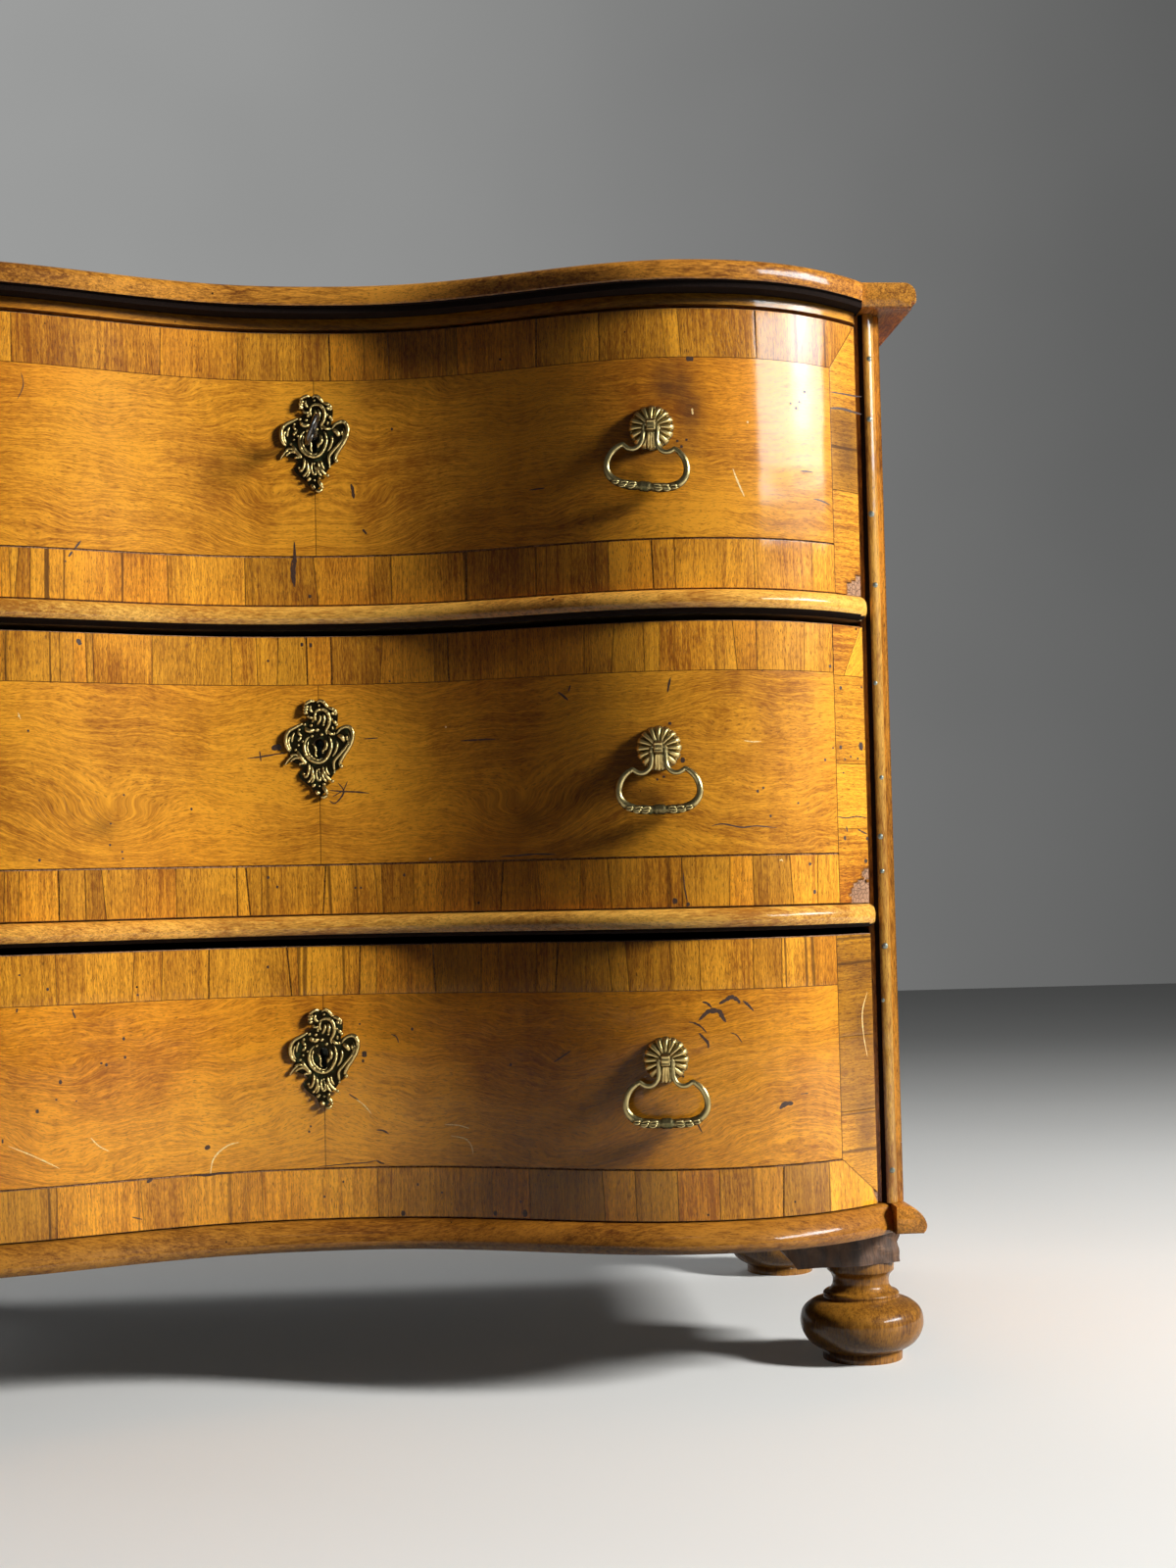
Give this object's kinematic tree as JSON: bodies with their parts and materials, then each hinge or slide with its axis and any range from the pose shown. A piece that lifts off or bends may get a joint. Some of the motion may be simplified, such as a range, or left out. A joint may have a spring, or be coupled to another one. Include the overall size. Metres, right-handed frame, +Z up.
{
  "type": "serpentine chest of drawers",
  "caption": "Veneered chest with a serpentine front, drawers that slide on dustboards, brass bail handles, rococo escutcheons, a turning key and turned bun feet.",
  "frame": {"origin": "centre of the footprint, on the floor under the feet", "axes": "+X to the right of someone facing the drawers, -Y out of the front, +Z up"},
  "size_m": [0.942, 0.585, 0.847],
  "materials": {
    "front_veneer": "figured walnut veneer, shellac polish, worn",
    "case_veneer": "walnut veneer, shellac polish",
    "moulding": "solid walnut moulding, shellac polish, rubbed edges",
    "pine": "aged bare pine, planed",
    "stained_wood": "dark stained turned wood",
    "brass": "cast brass, aged brown in the hollows",
    "iron": "old forged iron, brown"
  },
  "bodies": {
    "carcass": {"side_left": "case_veneer", "side_right": "case_veneer", "back_panel": "pine", "bottom_board": "pine", "dustboard_lower": "pine", "dustboard_upper": "pine", "top_rail": "moulding", "top_board": "case_veneer", "top_front_moulding": "moulding", "top_side_moulding_left": "moulding", "top_side_moulding_right": "moulding", "divider_bead_lower": "moulding", "divider_bead_upper": "moulding", "post_bead_left": "moulding", "post_bead_right": "moulding", "base_front_moulding": "moulding", "base_side_moulding_left": "moulding", "base_side_moulding_right": "moulding", "foot_block_front_left": "stained_wood", "foot_block_front_right": "stained_wood", "foot_front_left": "stained_wood", "foot_front_right": "stained_wood", "foot_rear_left": "stained_wood", "foot_rear_right": "stained_wood"},
    "drawer_upper": {"drawer_front_upper": "front_veneer", "drawer_side_left_upper": "pine", "drawer_side_right_upper": "pine", "drawer_back_upper": "pine", "drawer_bottom_upper": "pine", "lock_upper": "iron", "escutcheon_upper": "brass", "rosette_upper_left": "brass", "rosette_upper_right": "brass"},
    "bail_upper_left": {"bail_upper_left": "brass"},
    "bail_upper_right": {"bail_upper_right": "brass"},
    "drawer_middle": {"drawer_front_middle": "front_veneer", "drawer_side_left_middle": "pine", "drawer_side_right_middle": "pine", "drawer_back_middle": "pine", "drawer_bottom_middle": "pine", "lock_middle": "iron", "escutcheon_middle": "brass", "rosette_middle_left": "brass", "rosette_middle_right": "brass"},
    "bail_middle_left": {"bail_middle_left": "brass"},
    "bail_middle_right": {"bail_middle_right": "brass"},
    "drawer_lower": {"drawer_front_lower": "front_veneer", "drawer_side_left_lower": "pine", "drawer_side_right_lower": "pine", "drawer_back_lower": "pine", "drawer_bottom_lower": "pine", "lock_lower": "iron", "escutcheon_lower": "brass", "rosette_lower_left": "brass", "rosette_lower_right": "brass"},
    "bail_lower_left": {"bail_lower_left": "brass"},
    "bail_lower_right": {"bail_lower_right": "brass"},
    "key": {"key": "iron"},
    "lock_bolt": {"lock_bolt": "iron"}
  },
  "joints": [
    {"name": "drawer_upper_slide", "type": "slide", "parent": "carcass", "child": "drawer_upper", "axis": [0, -1, 0], "range_m": [0, 0.38]},
    {"name": "bail_upper_left_swing", "type": "hinge", "parent": "drawer_upper", "child": "bail_upper_left", "pos_m": [-0.25331, -0.27956, 0.723], "axis": [-0.9881, -0.1535, 0], "range_deg": [-6, 95]},
    {"name": "bail_upper_right_swing", "type": "hinge", "parent": "drawer_upper", "child": "bail_upper_right", "pos_m": [0.25331, -0.27956, 0.723], "axis": [-0.9881, 0.1535, 0], "range_deg": [-6, 95]},
    {"name": "drawer_middle_slide", "type": "slide", "parent": "carcass", "child": "drawer_middle", "axis": [0, -1, 0], "range_m": [0, 0.38]},
    {"name": "bail_middle_left_swing", "type": "hinge", "parent": "drawer_middle", "child": "bail_middle_left", "pos_m": [-0.25331, -0.27956, 0.482], "axis": [-0.9881, -0.1535, 0], "range_deg": [-6, 95]},
    {"name": "bail_middle_right_swing", "type": "hinge", "parent": "drawer_middle", "child": "bail_middle_right", "pos_m": [0.25331, -0.27956, 0.482], "axis": [-0.9881, 0.1535, 0], "range_deg": [-6, 95]},
    {"name": "drawer_lower_slide", "type": "slide", "parent": "carcass", "child": "drawer_lower", "axis": [0, -1, 0], "range_m": [0, 0.38]},
    {"name": "bail_lower_left_swing", "type": "hinge", "parent": "drawer_lower", "child": "bail_lower_left", "pos_m": [-0.25331, -0.27956, 0.251], "axis": [-0.9881, -0.1535, 0], "range_deg": [-6, 95]},
    {"name": "bail_lower_right_swing", "type": "hinge", "parent": "drawer_lower", "child": "bail_lower_right", "pos_m": [0.25331, -0.27956, 0.251], "axis": [-0.9881, 0.1535, 0], "range_deg": [-6, 95]},
    {"name": "key_turn", "type": "hinge", "parent": "drawer_upper", "child": "key", "pos_m": [0, -0.2, 0.732], "axis": [0, 1, 0], "range_deg": [-21, 159]},
    {"name": "lock_bolt_slide", "type": "slide", "parent": "drawer_upper", "child": "lock_bolt", "axis": [0, 0, 1], "range_m": [-0.0014, 0.0106]}
  ],
  "couplings": [
    {"joint": "lock_bolt_slide", "follows": "key_turn", "m_per_rad": 0.0038}
  ]
}
